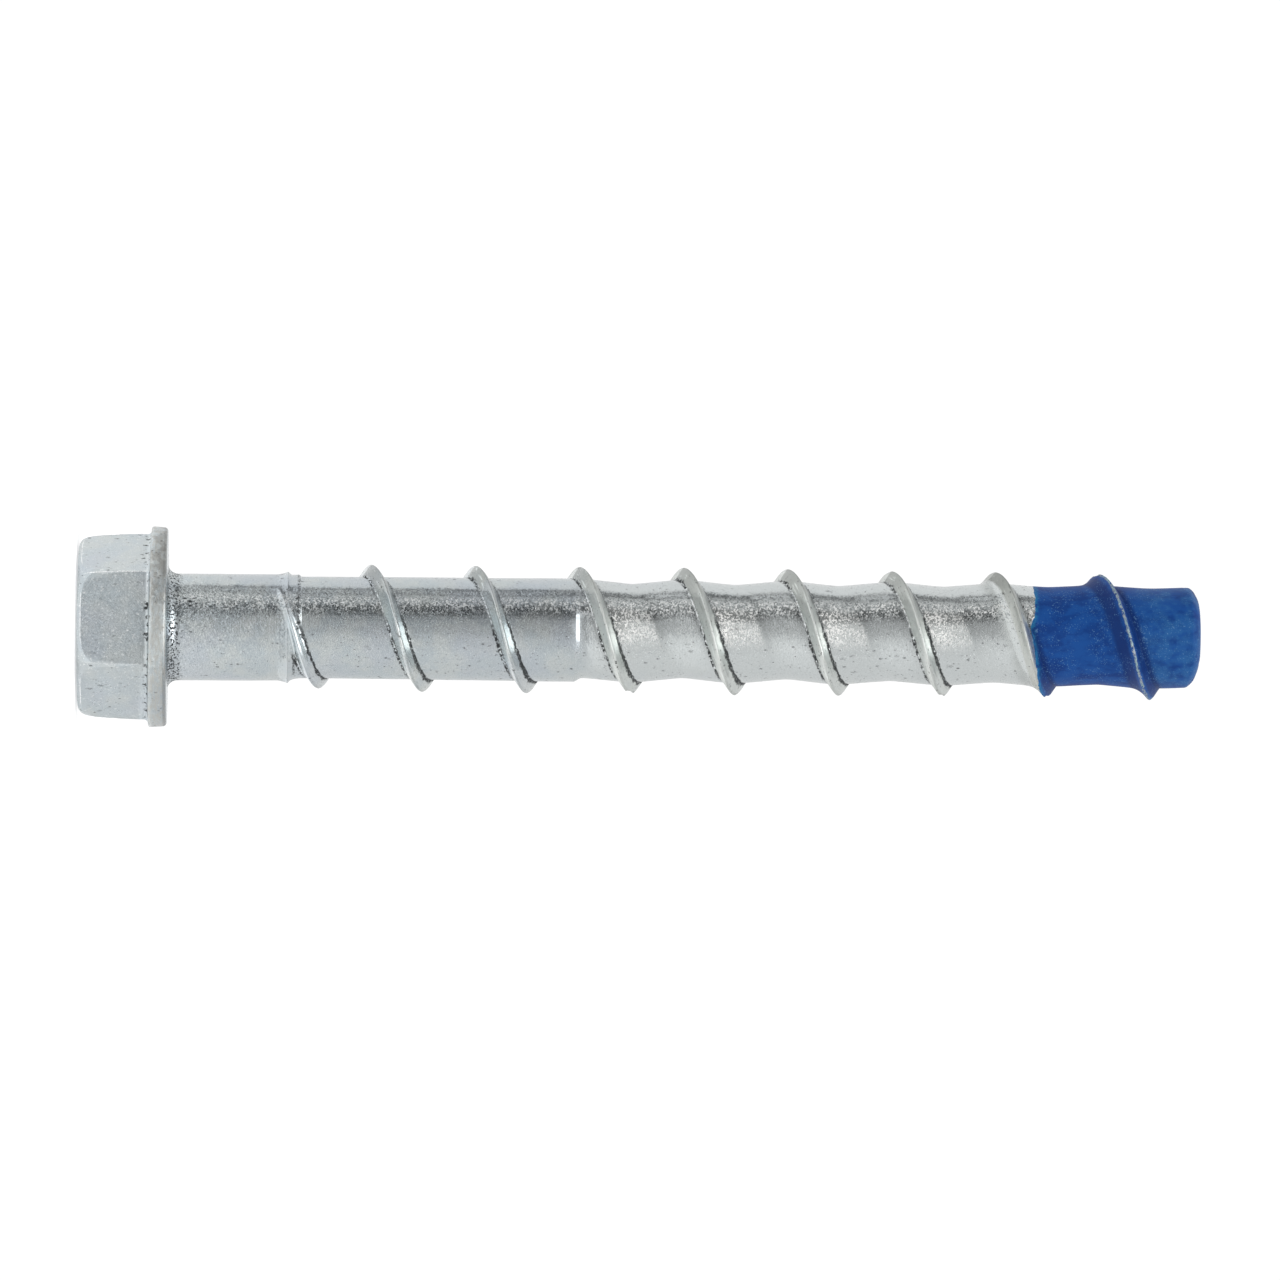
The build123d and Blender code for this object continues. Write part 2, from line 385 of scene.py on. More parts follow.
# ---------------------------------------------------------------- materials
class Nodes:
    """Short names for the nodes of one material."""

    def __init__(self, tree):
        self.tree = tree

    def new(self, kind, **values):
        node = self.tree.nodes.new(kind)
        for k, v in values.items():
            setattr(node, k, v)
        return node

    def put(self, socket, value):
        if isinstance(value, bpy.types.NodeSocket):
            self.tree.links.new(value, socket)
        elif value is not None:
            socket.default_value = value

    def math(self, op, a, b=None, c=None, clamp=False):
        n = self.new("ShaderNodeMath", operation=op, use_clamp=clamp)
        for socket, v in zip(n.inputs, (a, b, c)):
            self.put(socket, v)
        return n.outputs[0]

    def step(self, x, a, b, lo=0.0, hi=1.0):
        n = self.new("ShaderNodeMapRange", interpolation_type="SMOOTHSTEP")
        for i, v in enumerate((x, a, b, lo, hi)):
            self.put(n.inputs[i], v)
        return n.outputs[0]

    def mix(self, f, a, b, blend="MIX"):
        n = self.new("ShaderNodeMix", data_type="RGBA", blend_type=blend)
        self.put(n.inputs[0], f)
        self.put(n.inputs[6], a)
        self.put(n.inputs[7], b)
        return n.outputs[2]

    def mixf(self, f, a, b):
        n = self.new("ShaderNodeMix", data_type="FLOAT")
        self.put(n.inputs[0], f)
        self.put(n.inputs[2], a)
        self.put(n.inputs[3], b)
        return n.outputs[0]

    def combine(self, x, y, z):
        n = self.new("ShaderNodeCombineXYZ")
        for s, v in zip(n.inputs, (x, y, z)):
            self.put(s, v)
        return n.outputs[0]

    def noise(self, vec, scale, detail=2.0, rough=0.5, distort=0.0):
        n = self.new("ShaderNodeTexNoise")
        self.put(n.inputs["Vector"], vec)
        n.inputs["Scale"].default_value = scale
        n.inputs["Detail"].default_value = detail
        n.inputs["Roughness"].default_value = rough
        n.inputs["Distortion"].default_value = distort
        return n.outputs[0]

    def cells(self, vec, scale, feature="F1", rand=1.0):
        n = self.new("ShaderNodeTexVoronoi", feature=feature)
        self.put(n.inputs["Vector"], vec)
        n.inputs["Scale"].default_value = scale
        n.inputs["Randomness"].default_value = rand
        return n.outputs["Distance"], n.outputs["Color"]

    def bump(self, height, distance, strength=1.0, normal=None):
        n = self.new("ShaderNodeBump")
        n.inputs["Strength"].default_value = strength
        n.inputs["Distance"].default_value = distance
        self.put(n.inputs["Height"], height)
        if normal is not None:
            self.put(n.inputs["Normal"], normal)
        return n.outputs[0]


def rgb(r, g, b):
    """An sRGB colour, 0 to 255, as a linear one."""
    def f(c):
        c /= 255.0
        return c / 12.92 if c <= 0.04045 else ((c + 0.055) / 1.055) ** 2.4
    return (f(r), f(g), f(b), 1.0)


def fresh(name):
    m = bpy.data.materials.new(name)
    m.use_nodes = True
    m.node_tree.nodes.clear()
    n = Nodes(m.node_tree)
    out = n.new("ShaderNodeOutputMaterial")
    bsdf = n.new("ShaderNodeBsdfPrincipled")
    m.node_tree.links.new(bsdf.outputs[0], out.inputs[0])
    return m, n, bsdf


mat, N, bsdf = fresh("zinc_plated_steel_with_dip_paint")
coord = N.new("ShaderNodeTexCoord").outputs["Object"]
scaled = N.new("ShaderNodeVectorMath", operation="SCALE")
N.put(scaled.inputs[0], coord)
scaled.inputs["Scale"].default_value = 1000.0
P = scaled.outputs[0]                                   # millimetres
sep = N.new("ShaderNodeSeparateXYZ")
N.put(sep.inputs[0], P)
X, Y, S = sep.outputs
Xc = N.math("ADD", X, 0.12)
R = N.math("SQRT", N.math("ADD", N.math("MULTIPLY", Xc, Xc), N.math("MULTIPLY", Y, Y)))
TH = N.math("ARCTAN2", N.math("MULTIPLY", Y, -1.0), N.math("MULTIPLY", Xc, -1.0))
TURN = N.math("MULTIPLY", TH, 1.0 / (2 * math.pi))
TURN = N.math("FRACT", TURN)                             # 0 to 1 from theta = 0
C = N.math("SUBTRACT", N.math("DIVIDE", N.math("SUBTRACT", S, CREST_0), PITCH), TURN)
I = N.math("FLOOR", N.math("ADD", C, 0.5))
U = N.math("MULTIPLY", N.math("SUBTRACT", C, I), PITCH)  # from the nearest crest
RUN = N.math("ADD", TURN, I)                             # turns run
AU = N.math("ABSOLUTE", U)
threaded = N.math("MULTIPLY", N.step(RUN, 0.12, 0.3), N.step(RUN, 8.75, 8.6))

def tilted_grains(scale, seed):
    """Grains that each lie at a tilt and have a value of their own."""
    shifted = N.new("ShaderNodeVectorMath", operation="ADD")
    N.put(shifted.inputs[0], P)
    shifted.inputs[1].default_value = (seed, seed * 0.7, seed * 1.3)
    v = N.new("ShaderNodeTexVoronoi", feature="F1")
    N.put(v.inputs["Vector"], shifted.outputs[0])
    v.inputs["Scale"].default_value = scale
    away = N.new("ShaderNodeVectorMath", operation="SUBTRACT")
    N.put(away.inputs[0], shifted.outputs[0])
    N.put(away.inputs[1], v.outputs["Position"])
    lean = N.new("ShaderNodeVectorMath", operation="SUBTRACT")
    N.put(lean.inputs[0], v.outputs["Color"])
    lean.inputs[1].default_value = (0.5, 0.5, 0.5)
    dot = N.new("ShaderNodeVectorMath", operation="DOT_PRODUCT")
    N.put(dot.inputs[0], away.outputs[0])
    N.put(dot.inputs[1], lean.outputs[0])
    own = N.new("ShaderNodeSeparateXYZ")
    N.put(own.inputs[0], v.outputs["Color"])
    return dot.outputs["Value"], own.outputs[0]


# noises
tilt_a, own_a = tilted_grains(4.1, 3.1)
tilt_b, _own = tilted_grains(6.3, 9.7)
grain = N.noise(P, 3.4, 3.0, 0.62)                       # about 0.3 mm
coarse = N.noise(P, 1.3, 3.0, 0.6)
cloud = N.noise(P, 0.28, 3.0, 0.55)
cloud2 = N.noise(P, 0.11, 2.0, 0.5)
speck = N.noise(P, 5.2, 2.0, 0.7)
grit = N.noise(P, 5.0, 2.0, 0.6)
group = N.noise(P, 0.42, 3.0, 0.6)
patchy = N.noise(P, 0.9, 3.0, 0.6)
mottle_noise = N.noise(P, 2.6, 3.0, 0.7)
speckle = N.math("MULTIPLY_ADD", own_a, 0.6, N.math("MULTIPLY", grit, 0.8))
on_head = N.step(S, 0.05, -0.15)
ridge_here = N.math("MULTIPLY", N.step(AU, 1.35, 1.0), N.math("MULTIPLY", N.step(RUN, 0.30, 0.5), N.step(S, 20.0, 22.0)))

# ---- zinc
zinc = N.mix(N.step(cloud, 0.38, 0.62), (0.550, 0.607, 0.632, 1), (0.600, 0.642, 0.645, 1))
zinc = N.mix(N.math("MULTIPLY", N.step(cloud2, 0.48, 0.62), 0.5), zinc, (0.540, 0.583, 0.635, 1))
# painted reflection: in one stretch along the shank, from theta 35 to 81, pale glints and dark specks are painted in
painted_glint_band = N.math("MULTIPLY", N.step(TURN, 0.098, 0.118), N.step(TURN, 0.225, 0.19))
painted_glint_band = N.math("MULTIPLY", N.math("MULTIPLY", painted_glint_band, N.step(S, 0.3, 1.5)), N.mixf(ridge_here, 1.0, 0.0))
near_side = N.math("MULTIPLY", N.step(TURN, 0.03, 0.09), N.step(TURN, 0.46, 0.38))
neutral = N.mixf(near_side, N.step(S, 36.0, 92.0), N.step(S, 59.0, 63.5))
zinc = N.mix(N.math("MULTIPLY", neutral, 0.9), zinc, (0.665, 0.70, 0.70, 1))
# painted highlight: pale glints in that stretch
painted_glint_grit = N.math("MULTIPLY", N.math("MULTIPLY", N.step(speckle, 0.83, 0.86), painted_glint_band), N.math("MULTIPLY", N.step(TURN, 0.138, 0.156, 0.04, 0.68), N.step(TURN, 0.205, 0.168, 0.35, 1.0)))
zinc = N.mix(N.math("MULTIPLY", N.step(speck, 0.56, 0.70), 0.25), zinc, (0.88, 0.90, 0.90, 1))
zinc = N.mix(N.math("MULTIPLY", N.step(speck, 0.43, 0.30), 0.22), zinc, (0.30, 0.325, 0.335, 1))
painted_glint_grit = N.math("MULTIPLY", painted_glint_grit, N.step(S, 54.0, 64.0, 0.80, 1.25))
zinc = N.mix(painted_glint_grit, zinc, (0.90, 0.91, 0.90, 1))
# painted reflection: dark specks in that stretch
zinc = N.mix(N.math("MULTIPLY", N.math("MULTIPLY", N.step(speckle, 0.57, 0.54), painted_glint_band), N.step(S, 54.0, 64.0, 0.50, 0.60)), zinc, (0.20, 0.22, 0.225, 1))
# painted shade: a darker line in that stretch, from theta 37 to 51
band_shade_line = N.math("MULTIPLY", N.math("MULTIPLY", N.step(TURN, 0.103, 0.113), N.step(TURN, 0.141, 0.130)), painted_glint_band)
zinc = N.mix(band_shade_line, zinc, (0.85, 0.855, 0.86, 1), "MULTIPLY")
# painted shade: the slope of the bead that faces the head is darker
bead_slope_shade = N.math("MULTIPLY", N.step(S, 16.2, 16.7), N.step(S, 17.85, 17.6))
zinc = N.mix(bead_slope_shade, zinc, (0.84, 0.84, 0.84, 1), "MULTIPLY")
# painted highlight: pale glints on the far slope of each turn's waist, from theta 58 to 115
painted_waist_glint = N.math("MULTIPLY", N.step(U, 1.1, 1.6), N.math("MULTIPLY", N.step(U, 7.6, 6.9), N.step(U, 1.5, 6.5, 1.0, 0.6)))
painted_waist_glint = N.math("MULTIPLY", painted_waist_glint, N.math("MULTIPLY", N.step(TURN, 0.160, 0.195), N.step(TURN, 0.320, 0.255)))
painted_waist_glint = N.math("MULTIPLY", painted_waist_glint, N.step(S, 60.0, 63.0))
zinc = N.mix(N.math("MULTIPLY", painted_waist_glint, 0.6), zinc, (0.80, 0.82, 0.80, 1))
painted_waist_glint = N.math("MULTIPLY", painted_waist_glint, N.step(speckle, 0.76, 0.80))
zinc = N.mix(N.math("MULTIPLY", painted_waist_glint, 0.95), zinc, (0.98, 0.98, 0.96, 1))
# the ridge of the thread is greyer, with light and dark streaks; painted shade darkens it from theta 0 to about 75
ridge_tone_and_shade = N.mix(N.step(TURN, 0.06, 0.21), (0.52, 0.515, 0.495, 1), (0.93, 0.915, 0.885, 1))
# painted highlight: the ridge's right flank is brighter from theta 54 to 108
ridge_tone_and_shade = N.mix(N.math("MULTIPLY", N.step(U, 0.2, 0.35), N.step(TURN, 0.15, 0.30)), ridge_tone_and_shade, (1.06, 1.045, 1.01, 1))
streaks = N.noise(N.combine(N.math("MULTIPLY", U, 3.0), N.math("MULTIPLY", RUN, 15.0), 0.0), 1.0, 3.0, 0.65)
ridge_tone_and_shade = N.mix(N.step(streaks, 0.56, 0.70, 0.0, 0.50), ridge_tone_and_shade, (0.50, 0.50, 0.48, 1))
ridge_tone_and_shade = N.mix(N.step(streaks, 0.44, 0.32, 0.0, 0.60), ridge_tone_and_shade, (1.22, 1.22, 1.18, 1))
ridge_tone_and_shade = N.mix(N.step(S, 58.0, 64.0), ridge_tone_and_shade, (0.955, 0.96, 0.955, 1), "MULTIPLY")
# painted shade: the wide left flank of the last turns is darker
left_flank_shade = N.math("MULTIPLY", N.step(RUN, 6.2, 7.0), N.math("MULTIPLY", N.step(U, -4.0, -2.2), N.step(U, 0.4, -0.1)))
zinc = N.mix(ridge_here, zinc, ridge_tone_and_shade, "MULTIPLY")
zinc = N.mix(left_flank_shade, zinc, (0.80, 0.80, 0.79, 1), "MULTIPLY")
# the head is duller, with pale flecks
fleck = N.math("MULTIPLY", N.step(mottle_noise, 0.575, 0.65), on_head)
fleck = N.math("MULTIPLY", fleck, N.step(N.math("ABSOLUTE", N.math("SUBTRACT", TURN, (HEX_CORNER + 30.0) / 360.0)), 0.10, 0.08, 0.55, 1.0))
zinc = N.mix(N.math("MULTIPLY", fleck, 0.75), zinc, (0.92, 0.94, 0.94, 1))
# painted highlights on the corners of the hex and on the curved line where its flats bend inwards, and painted shade on
# two flats
corner = N.math("ABSOLUTE", N.math("WRAP", N.math("SUBTRACT", N.math("MULTIPLY", TURN, 6.0), HEX_CORNER / 60.0), 0.5, -0.5))
deep = N.math("ADD", S, -HEAD_TOP)
deep = N.math("SUBTRACT", deep, N.math("MULTIPLY", N.math("POWER", N.math("MAXIMUM", N.math("MULTIPLY_ADD", deep, -1.0 / 3.0, 1.0), 0.0), 1.5), DOME))
edge_k = N.math("POWER", N.math("MAXIMUM", N.math("MULTIPLY_ADD", corner, -2.0, 1.0), 0.0), 5.0)
past_bend = N.math("SUBTRACT", deep, N.math("MULTIPLY_ADD", edge_k, 1.9, 0.60))
on_flat = N.math("MULTIPLY", N.step(past_bend, 0.0, 0.10), N.step(S, -2.9, -3.1))
# painted shade: the middle flat, facing -Y, is darker past the bend
shaded_mid_flat = N.math("MULTIPLY", on_flat, N.step(N.math("ABSOLUTE", N.math("SUBTRACT", TURN, (HEX_CORNER + 30.0) / 360.0)), 0.0842, 0.0824))
zinc = N.mix(shaded_mid_flat, zinc, (0.78, 0.785, 0.79, 1), "MULTIPLY")
# painted shade: the flat at theta 144 is a little darker
shaded_low_flat = N.math("MULTIPLY", on_head, N.step(N.math("ABSOLUTE", N.math("SUBTRACT", TURN, (HEX_CORNER + 90.0) / 360.0)), 0.0842, 0.0824))
zinc = N.mix(shaded_low_flat, zinc, (0.90, 0.90, 0.90, 1), "MULTIPLY")
# painted highlight along the curved line where the flats bend inwards
bend_highlight = N.math("MULTIPLY", N.step(N.math("ABSOLUTE", past_bend), 0.10, 0.03), N.step(R, 12.6, 12.2))
bend_highlight = N.math("MULTIPLY", bend_highlight, N.step(coarse, 0.34, 0.50))
# painted highlight on the corners of the hex, brighter towards -X
corner_highlight = N.math("MULTIPLY", N.step(corner, 0.0105, 0.0050), N.math("MULTIPLY", N.step(S, -2.75, -3.0), N.step(R, 12.9, 13.2)))
corner_highlight = N.math("MULTIPLY", corner_highlight, N.step(speck, 0.40, 0.52))
corner_highlight = N.math("MULTIPLY", corner_highlight, N.step(X, 2.0, -4.0, 0.25, 1.0))
zinc = N.mix(N.math("MULTIPLY", N.math("MAXIMUM", corner_highlight, bend_highlight), 0.85), zinc, (0.97, 0.98, 0.98, 1))
on_flange = N.math("MULTIPLY", N.step(R, 14.3, 14.45), on_head)
streak = N.noise(N.combine(N.math("MULTIPLY", X, 0.5), N.math("MULTIPLY", Y, 0.5), N.math("MULTIPLY", S, 2.0)), 1.4, 3.0, 0.6)
zinc = N.mix(N.math("MULTIPLY", N.math("MULTIPLY", on_flange, N.step(streak, 0.40, 0.60)), 0.8), zinc, (0.54, 0.545, 0.52, 1))
zinc = N.mix(on_flange, zinc, (0.94, 0.94, 0.935, 1), "MULTIPLY")
stained = N.math("MULTIPLY", N.math("MULTIPLY", on_flange, N.step(X, -2.5, -5.0)), N.step(N.noise(P, 0.55, 4.0, 0.65), 0.44, 0.58))
zinc = N.mix(N.math("MULTIPLY", stained, 0.55), zinc, (0.27, 0.265, 0.25, 1))
# the flange's rounded edge next to the bearing face is painted darker
zinc = N.mix(N.math("MULTIPLY", N.step(S, -0.62, -0.40), N.step(R, 13.8, 14.2)), zinc, (0.74, 0.74, 0.74, 1), "MULTIPLY")



def seen_at(px, py):
    """Point of the screw's near side that stands at this place in the main view, in pixels."""
    d = 1301.7
    for _again in range(4):
        x = (py - 630.1 - (px - 235.0) * 0.01044) * d / 8814.0
        s = 19.74 + d * math.tan(math.atan((px - 640.0) / 8814.0) + math.radians(2.2))
        if s < FLANGE:
            depth = min((APOTHEM + x * 0.912) / 0.410, (APOTHEM + x * 0.101) / 0.995, (APOTHEM - x * 0.811) / 0.585)
        else:
            radius = 7.87 if s < 17 else (7.78 if s < 19.9 else (7.56 if s < 60 else 7.3))
            radius = 9.2 if (px, py) in ON_CREST else radius
            depth = math.sqrt(max(radius ** 2 - x * x, 0.0))
        d = 1301.7 - depth
    return (x, -depth, s)


# dark marks: place in the main view, half length along the axis in mm
ON_CREST = [(616.5, 664.5), (617.2, 666.2), (618, 668), (618.8, 669.8), (619.5, 671.5)]     # one nick
# black: a nick on one crest, dark dots round the hex's foot, and dots of painted shade below the head and along the
# bead's foot
BLACK_NICK_AND_SHADE = [(px, py, 0.20) for px, py in ON_CREST] + [
    (147, 611, 0.46), (147, 637, 0.44), (146, 687, 0.36), (146, 705, 0.32), (145, 548, 0.34), (147, 556, 0.28), (143, 561, 0.24),
    (185, 601, 0.28), (189, 604, 0.38), (193, 601, 0.24), (190, 608, 0.28), (183, 607, 0.22), (196, 606, 0.22),
    (297, 601, 0.34), (298, 609, 0.32), (298, 614, 0.34), (299, 625, 0.40), (298, 631, 0.34), (302, 637, 0.36),
]
GREY = [
    (107, 560, 0.34), (90, 691, 0.40), (101, 688, 0.42), (81, 713, 0.32), (100, 713, 0.30), (225, 633, 0.24), (242, 667, 0.32),
    (206, 678, 0.26), (366, 649, 0.36), (369, 652, 0.26), (687, 647, 0.34), (691, 654, 0.36), (736, 674, 0.34), (843, 661, 0.38),
    (852, 659, 0.32), (854, 675, 0.34), (873, 677, 0.30), (884, 643, 0.26), (897, 659, 0.34), (950, 669, 0.36), (969, 664, 0.30),
    (1006, 648, 0.34), (1016, 651, 0.30), (934, 590, 0.30), (967, 586, 0.34), (828, 594, 0.46),
]
shake = N.new("ShaderNodeTexNoise")
N.put(shake.inputs["Vector"], P)
shake.inputs["Scale"].default_value = 3.4
shaken = N.new("ShaderNodeVectorMath", operation="MULTIPLY_ADD")
N.put(shaken.inputs[0], shake.outputs["Color"])
shaken.inputs[1].default_value = (0.6, 0.6, 1.0)
N.put(shaken.inputs[2], P)
flat_p = N.new("ShaderNodeVectorMath", operation="MULTIPLY")
N.put(flat_p.inputs[0], shaken.outputs[0])
flat_p.inputs[1].default_value = (1.0, 1.0, 0.5)


def marked(places):
    out = None
    for px, py, size in places:
        x, y, s = seen_at(px, py)
        v = N.new("ShaderNodeVectorMath", operation="DISTANCE")
        N.put(v.inputs[0], flat_p.outputs[0])
        v.inputs[1].default_value = (x + 0.30, y + 0.30, (s + 0.50) * 0.5)
        one_mark = N.math("DIVIDE", v.outputs["Value"], size * 0.78)
        out = one_mark if out is None else N.math("MINIMUM", out, one_mark)
    return N.step(out, 1.0, 0.55)


marks = N.math("MULTIPLY", marked(GREY), N.step(speck, 0.38, 0.52, 0.0, 0.66))
black_nick_and_shade = N.math("MULTIPLY", marked(BLACK_NICK_AND_SHADE), N.step(speck, 0.30, 0.40))

# dark pits of uneven size, in loose groups
pit_vec = N.combine(X, Y, N.math("MULTIPLY", S, 0.62))
d1, _c = N.cells(pit_vec, 0.95)
d2, _c = N.cells(pit_vec, 1.9)
d3, _c = N.cells(P, 3.3)
pit1 = N.math("MULTIPLY", N.step(d1, 0.21, 0.09), N.step(group, 0.46, 0.54))
pit2 = N.math("MULTIPLY", N.step(d2, 0.26, 0.12), N.step(patchy, 0.49, 0.57))
pit3 = N.math("MULTIPLY", N.step(d3, 0.20, 0.10), N.step(patchy, 0.49, 0.42))
pits = N.math("MAXIMUM", N.math("MAXIMUM", pit1, N.math("MULTIPLY", pit2, 0.85)), N.math("MULTIPLY", pit3, 0.75))
pits = N.math("MULTIPLY", pits, N.math("MULTIPLY", N.step(grain, 0.36, 0.52), N.mixf(shaded_mid_flat, 1.0, 0.5)))
pits = N.math("MAXIMUM", pits, marks)

# dark lines along the feet of the thread and round the hex's foot, painted shade below the head, and a painted shadow
# line along the bead's foot
wander = N.math("MULTIPLY", N.math("SUBTRACT", patchy, 0.5), 0.55)
foot_width = N.math("MULTIPLY_ADD", N.noise(P, 0.5, 3.0, 0.6), 0.75, -0.04)
foot_width = N.math("MULTIPLY", foot_width, N.math("MULTIPLY_ADD", grit, 1.5, 0.08))
right_foot = N.math("DIVIDE", N.math("ABSOLUTE", N.math("ADD", N.math("SUBTRACT", U, 1.20), wander)), foot_width)
right_foot = N.math("MULTIPLY", N.step(right_foot, 1.0, 0.6), N.step(mottle_noise, 0.34, 0.42))
right_foot = N.math("MULTIPLY", right_foot, N.step(speck, N.mixf(N.step(TURN, 0.17, 0.25), 0.50, 0.34), N.mixf(N.step(TURN, 0.17, 0.25), 0.54, 0.40)))
left_foot = N.math("DIVIDE", N.math("ABSOLUTE", N.math("ADD", N.math("ADD", U, 1.32), wander)), foot_width)
left_foot = N.math("MULTIPLY", N.step(left_foot, 1.0, 0.6), N.step(mottle_noise, 0.42, 0.50))
left_foot = N.math("MULTIPLY", left_foot, N.math("MULTIPLY", N.step(RUN, 6.9, 6.4), N.step(RUN, 0.32, 0.35)))
left_share = N.math("MAXIMUM", N.step(TURN, 0.125, 0.09), N.math("MULTIPLY", N.step(TURN, 0.17, 0.27), N.step(TURN, 0.47, 0.42)))
left_foot = N.math("MULTIPLY", left_foot, N.math("MAXIMUM", left_share, N.step(grit, 0.50, 0.56, 0.0, 0.7)))
feet = N.math("MULTIPLY", N.math("MAXIMUM", right_foot, left_foot), threaded)
# painted shade: dark speckle below the head
near_neck = N.math("MULTIPLY", N.step(S, 0.0, 0.12), N.step(R, 9.9, 9.3))
neck_noise = N.math("SUBTRACT", grain, N.step(S, 1.1, 3.0, 0.0, 0.17))
neck_shade = N.math("MULTIPLY", near_neck, N.step(neck_noise, 0.505, 0.535))
# dark flecks round the hex's foot
foot_of_hex = N.math("MULTIPLY", N.step(S, -3.6, -2.9), N.step(S, -2.1, -2.5))
foot_of_hex = N.math("MULTIPLY", foot_of_hex, N.step(R, 14.3, 13.6))
foot_of_hex = N.math("MULTIPLY", foot_of_hex, N.step(S, -2.4, -2.7))
hex_foot_dark = N.math("MULTIPLY", foot_of_hex, N.step(coarse, 0.56, 0.61))
# painted shadow: a dotted dark line along the bead's foot, and painted shade in a crease under the thread's start
bead_foot_shadow = N.math("MULTIPLY", N.step(N.math("ABSOLUTE", N.math("SUBTRACT", S, 19.36)), 0.32, 0.20), N.step(N.math("ABSOLUTE", N.math("SUBTRACT", TURN, 0.10)), 0.17, 0.14))
crease_shade_mark = N.math("MULTIPLY", N.step(N.math("ABSOLUTE", N.math("SUBTRACT", S, 18.62)), 0.26, 0.14), N.step(N.math("ABSOLUTE", N.math("SUBTRACT", TURN, 0.385)), 0.055, 0.04))
bead_foot_shadow = N.math("MULTIPLY", N.math("MAXIMUM", bead_foot_shadow, crease_shade_mark), N.step(grain, N.step(TURN, 0.11, 0.16, 0.49, 0.44), N.step(TURN, 0.11, 0.16, 0.53, 0.485)))
bead_foot_shadow = N.math("MULTIPLY", bead_foot_shadow, N.step(speck, 0.44, 0.52, 0.25, 1.0))
dark_lines_and_shade = N.math("MAXIMUM", N.math("MAXIMUM", feet, neck_shade), N.math("MAXIMUM", hex_foot_dark, bead_foot_shadow))

dark_lines_and_shade = N.math("MAXIMUM", dark_lines_and_shade, black_nick_and_shade)
# pits, dark lines and painted shade are mixed towards near black
pits_lines_and_shade = N.math("MAXIMUM", N.math("MULTIPLY", pits, 0.74), N.math("MULTIPLY", dark_lines_and_shade, 0.97))
zinc = N.mix(pits_lines_and_shade, zinc, (0.030, 0.033, 0.034, 1))

zinc_rough = N.mixf(N.step(cloud, 0.3, 0.7), 0.11, 0.17)
zinc_rough = N.math("ADD", zinc_rough, N.math("MULTIPLY", N.step(speck, 0.35, 0.75), 0.05))
zinc_rough = N.math("ADD", zinc_rough, N.math("MULTIPLY", on_head, 0.16))
zinc_rough = N.math("ADD", zinc_rough, N.math("MULTIPLY", N.math("MULTIPLY", ridge_here, N.step(S, 58.0, 64.0)), 0.17))
zinc_rough = N.mixf(N.math("MAXIMUM", painted_glint_grit, N.math("MULTIPLY", painted_waist_glint, 0.8)), zinc_rough, 0.62)
on_lip = N.math("MULTIPLY", N.step(S, 59.95, 60.05), N.step(S, 60.70, 60.60))
zinc_rough = N.math("ADD", zinc_rough, N.math("MULTIPLY", on_lip, 0.12))
zinc_rough = N.math("ADD", zinc_rough, N.math("MULTIPLY", N.math("MULTIPLY", near_neck, N.step(S, 1.7, 1.1)), 0.12))
zinc_rough = N.mixf(pits_lines_and_shade, zinc_rough, 0.62)
zinc_metal = N.mixf(pits_lines_and_shade, 1.0, 0.25)

# ---- dip paint
# How far it reaches: level on the far side and the upper side, and from there
# along the right foot of one turn of the thread and over its crest.
reach = N.new("ShaderNodeValToRGB")
reach.color_ramp.interpolation = "LINEAR"
N.put(reach.inputs[0], TURN)
edge_at = [(0, 127.75), (40, 127.8), (68, 127.6), (77, 127.15), (84, 127.0), (102, 127.4), (125, 127.95), (150, 128.5), (165, 129.0),
           (180, 129.6), (200, 129.9), (225, 129.4), (262, 128.7), (300, 128.3), (335, 127.9), (359, 127.75)]
stops = reach.color_ramp.elements
while len(stops) > 1:
    stops.remove(stops[-1])
for n, (a, s) in enumerate(edge_at):
    e = stops[0] if n == 0 else stops.new(a / 360.0)
    e.position = a / 360.0
    v = (s - 126.0) / 5.0
    e.color = (v, v, v, 1)
edge_noise = N.math("MULTIPLY", N.math("SUBTRACT", N.noise(P, 1.6, 4.0, 0.6), 0.5), 0.7)
level = N.math("SUBTRACT", S, N.math("ADD", N.math("MULTIPLY_ADD", reach.outputs[0], 5.0, 126.0), edge_noise))
paint = N.step(level, -0.05, 0.05)

stain = N.noise(N.combine(X, Y, N.math("MULTIPLY", S, 0.55)), 0.55, 5.0, 0.62)
paint_colour = N.mix(N.step(stain, 0.36, 0.60), (0.0040, 0.0395, 0.1960, 1), (0.0082, 0.0680, 0.2750, 1))
pale = N.math("MULTIPLY", N.step(S, 140.5, 147.5), N.step(group, 0.33, 0.66))
paint_colour = N.mix(N.math("MULTIPLY", pale, 0.75), paint_colour, (0.025, 0.120, 0.318, 1))
# painted shade: darker on both flanks beside the last turn of the thread
flank_shade_l = N.math("MULTIPLY", N.step(U, -2.9, -2.0), N.step(U, -0.35, -0.9))
flank_shade_r = N.math("MULTIPLY", N.step(U, 0.25, 0.6), N.step(U, 2.5, 1.6))
flank_shade = N.math("MULTIPLY", N.math("MAXIMUM", flank_shade_l, flank_shade_r), N.step(RUN, 6.9, 7.3))
off_end = N.step(R, 5.2, 6.6)                            # not on the end face of the tip
flank_shade = N.math("MULTIPLY", flank_shade, off_end)
paint_colour = N.mix(N.math("MULTIPLY", flank_shade, 0.85), paint_colour, (0.0026, 0.0250, 0.1380, 1))
# thin at its edge
thin = N.math("MULTIPLY", N.step(level, 0.85, 0.05), N.step(coarse, 0.35, 0.58))
paint_colour = N.mix(N.math("MULTIPLY", thin, 0.80), paint_colour, (0.020, 0.185, 0.370, 1))
